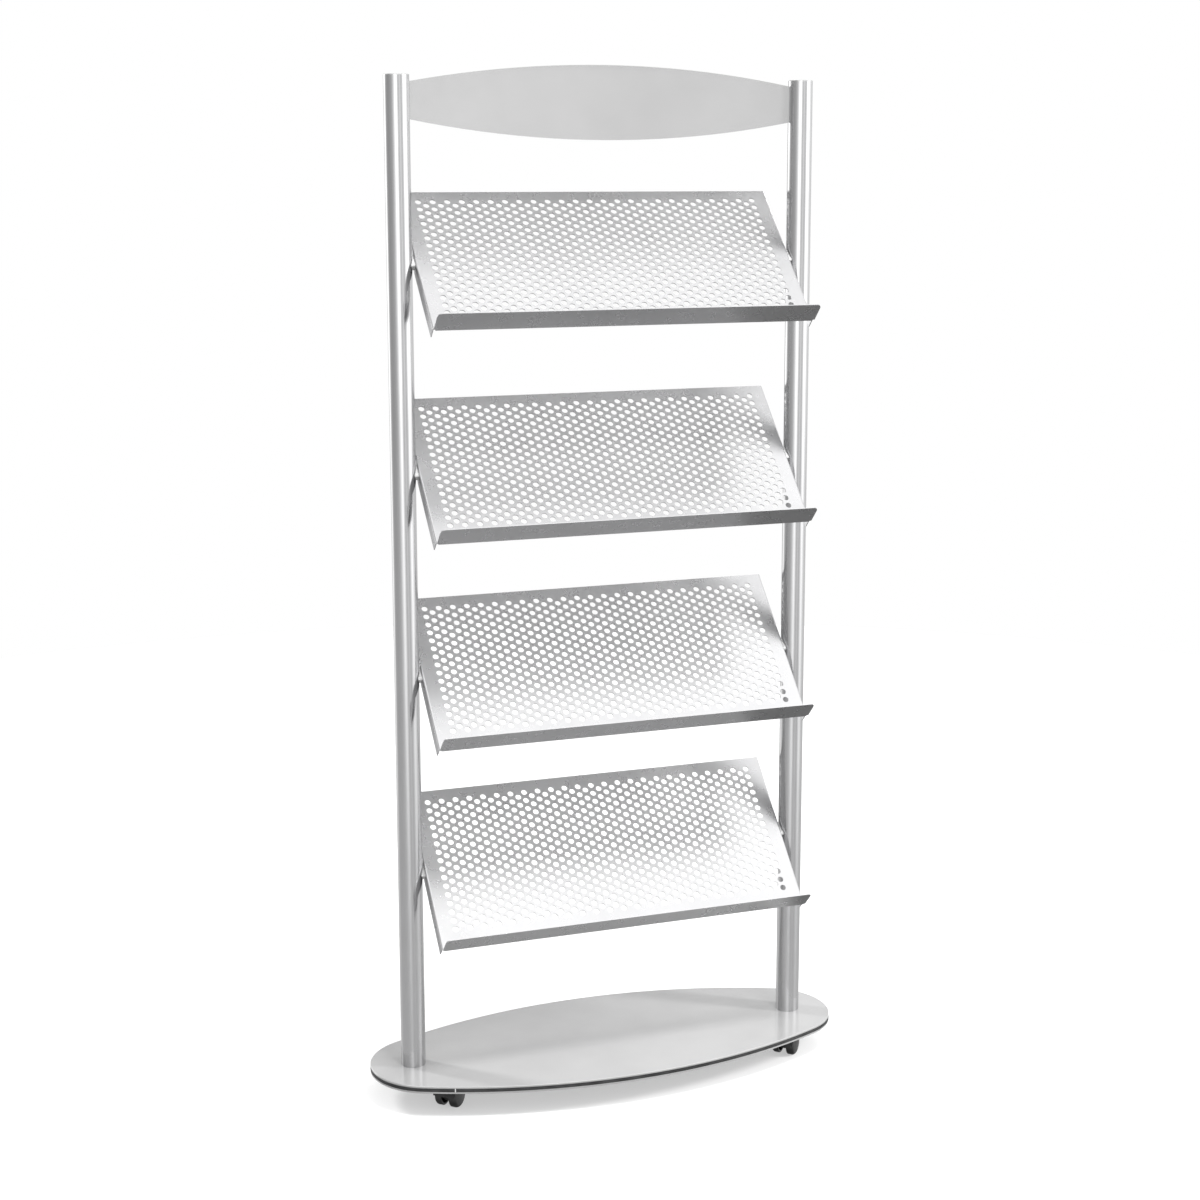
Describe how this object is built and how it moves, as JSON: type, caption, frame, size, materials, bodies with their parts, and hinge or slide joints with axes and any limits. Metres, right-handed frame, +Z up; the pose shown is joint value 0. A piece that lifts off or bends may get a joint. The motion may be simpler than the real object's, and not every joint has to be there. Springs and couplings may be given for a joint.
{
  "type": "newspaper rack",
  "caption": "Mobile newspaper rack: round posts on an oval base with twin-wheel casters, a lens-shaped header panel and sloping perforated trays with a front lip.",
  "frame": {"origin": "on the floor, under the middle of the oval base", "axes": "+Z up, +X to the right as seen from the front, front towards -Y, where the lips of the trays are"},
  "size_m": [0.8192, 0.336, 1.675],
  "materials": {
    "tray_silver": "satin silver paint on perforated sheet steel",
    "header_silver": "satin silver paint",
    "base_silver": "semi-gloss silver paint",
    "base_board": "pressed wood board",
    "edge_black": "ribbed black edging",
    "post_aluminium": "satin anodised tube",
    "cap_silver": "satin silver",
    "zinc_steel": "zinc plated",
    "saddle_grey": "moulded grey plastic",
    "caster_black": "moulded black plastic",
    "wheel_black": "hard black plastic tread, slightly shiny"
  },
  "bodies": {
    "rack": {"base_bottom_plate": "base_silver", "base_core": "base_board", "base_edge_band": "edge_black", "base_top_plate": "base_silver", "base_band_joint": "saddle_grey", "post_left": "post_aluminium", "post_cap_left": "cap_silver", "post_plug_left": "zinc_steel", "post_nuts_left": "zinc_steel", "post_right": "post_aluminium", "post_cap_right": "cap_silver", "post_plug_right": "zinc_steel", "post_nuts_right": "zinc_steel", "post_bolts": "zinc_steel", "post_washers": "zinc_steel", "header_panel": "header_silver", "header_bracket_left": "zinc_steel", "header_bracket_right": "zinc_steel", "header_screws": "zinc_steel", "shelf_1": "tray_silver", "shelf_screws_1": "zinc_steel", "shelf_saddle_1_left": "saddle_grey", "shelf_saddle_1_right": "saddle_grey", "shelf_2": "tray_silver", "shelf_screws_2": "zinc_steel", "shelf_saddle_2_left": "saddle_grey", "shelf_saddle_2_right": "saddle_grey", "shelf_3": "tray_silver", "shelf_screws_3": "zinc_steel", "shelf_saddle_3_left": "saddle_grey", "shelf_saddle_3_right": "saddle_grey", "shelf_4": "tray_silver", "shelf_screws_4": "zinc_steel", "shelf_saddle_4_left": "saddle_grey", "shelf_saddle_4_right": "saddle_grey", "caster_front_left_mount": "zinc_steel", "caster_front_right_mount": "zinc_steel", "caster_rear_left_mount": "zinc_steel", "caster_rear_right_mount": "zinc_steel", "caster_screws": "zinc_steel"},
    "caster_front_left_swivel": {"caster_front_left_housing": "caster_black", "caster_front_left_axle": "zinc_steel"},
    "caster_front_left_wheel_left": {"caster_front_left_wheel_left": "wheel_black"},
    "caster_front_left_wheel_right": {"caster_front_left_wheel_right": "wheel_black"},
    "caster_front_right_swivel": {"caster_front_right_housing": "caster_black", "caster_front_right_axle": "zinc_steel"},
    "caster_front_right_wheel_left": {"caster_front_right_wheel_left": "wheel_black"},
    "caster_front_right_wheel_right": {"caster_front_right_wheel_right": "wheel_black"},
    "caster_rear_left_swivel": {"caster_rear_left_housing": "caster_black", "caster_rear_left_axle": "zinc_steel"},
    "caster_rear_left_wheel_left": {"caster_rear_left_wheel_left": "wheel_black"},
    "caster_rear_left_wheel_right": {"caster_rear_left_wheel_right": "wheel_black"},
    "caster_rear_right_swivel": {"caster_rear_right_housing": "caster_black", "caster_rear_right_axle": "zinc_steel"},
    "caster_rear_right_wheel_left": {"caster_rear_right_wheel_left": "wheel_black"},
    "caster_rear_right_wheel_right": {"caster_rear_right_wheel_right": "wheel_black"}
  },
  "joints": [
    {"name": "caster_front_left_swivel", "type": "hinge", "parent": "rack", "child": "caster_front_left_swivel", "pos_m": [-0.302, -0.066, 0.03], "axis": [0, 0, 1], "continuous": true},
    {"name": "caster_front_left_wheel_left_spin", "type": "hinge", "parent": "caster_front_left_swivel", "child": "caster_front_left_wheel_left", "pos_m": [-0.30373, -0.04764, 0.019], "axis": [0.7193, -0.6947, 0], "continuous": true},
    {"name": "caster_front_left_wheel_right_spin", "type": "hinge", "parent": "caster_front_left_swivel", "child": "caster_front_left_wheel_right", "pos_m": [-0.28359, -0.06709, 0.019], "axis": [0.7193, -0.6947, 0], "continuous": true},
    {"name": "caster_front_right_swivel", "type": "hinge", "parent": "rack", "child": "caster_front_right_swivel", "pos_m": [0.302, -0.066, 0.03], "axis": [0, 0, 1], "continuous": true},
    {"name": "caster_front_right_wheel_left_spin", "type": "hinge", "parent": "caster_front_right_swivel", "child": "caster_front_right_wheel_left", "pos_m": [0.30027, -0.04764, 0.019], "axis": [0.7193, -0.6947, 0], "continuous": true},
    {"name": "caster_front_right_wheel_right_spin", "type": "hinge", "parent": "caster_front_right_swivel", "child": "caster_front_right_wheel_right", "pos_m": [0.32041, -0.06709, 0.019], "axis": [0.7193, -0.6947, 0], "continuous": true},
    {"name": "caster_rear_left_swivel", "type": "hinge", "parent": "rack", "child": "caster_rear_left_swivel", "pos_m": [-0.302, 0.066, 0.03], "axis": [0, 0, 1], "continuous": true},
    {"name": "caster_rear_left_wheel_left_spin", "type": "hinge", "parent": "caster_rear_left_swivel", "child": "caster_rear_left_wheel_left", "pos_m": [-0.30373, 0.08436, 0.019], "axis": [0.7193, -0.6947, 0], "continuous": true},
    {"name": "caster_rear_left_wheel_right_spin", "type": "hinge", "parent": "caster_rear_left_swivel", "child": "caster_rear_left_wheel_right", "pos_m": [-0.28359, 0.06491, 0.019], "axis": [0.7193, -0.6947, 0], "continuous": true},
    {"name": "caster_rear_right_swivel", "type": "hinge", "parent": "rack", "child": "caster_rear_right_swivel", "pos_m": [0.302, 0.066, 0.03], "axis": [0, 0, 1], "continuous": true},
    {"name": "caster_rear_right_wheel_left_spin", "type": "hinge", "parent": "caster_rear_right_swivel", "child": "caster_rear_right_wheel_left", "pos_m": [0.30027, 0.08436, 0.019], "axis": [0.7193, -0.6947, 0], "continuous": true},
    {"name": "caster_rear_right_wheel_right_spin", "type": "hinge", "parent": "caster_rear_right_swivel", "child": "caster_rear_right_wheel_right", "pos_m": [0.32041, 0.06491, 0.019], "axis": [0.7193, -0.6947, 0], "continuous": true}
  ]
}
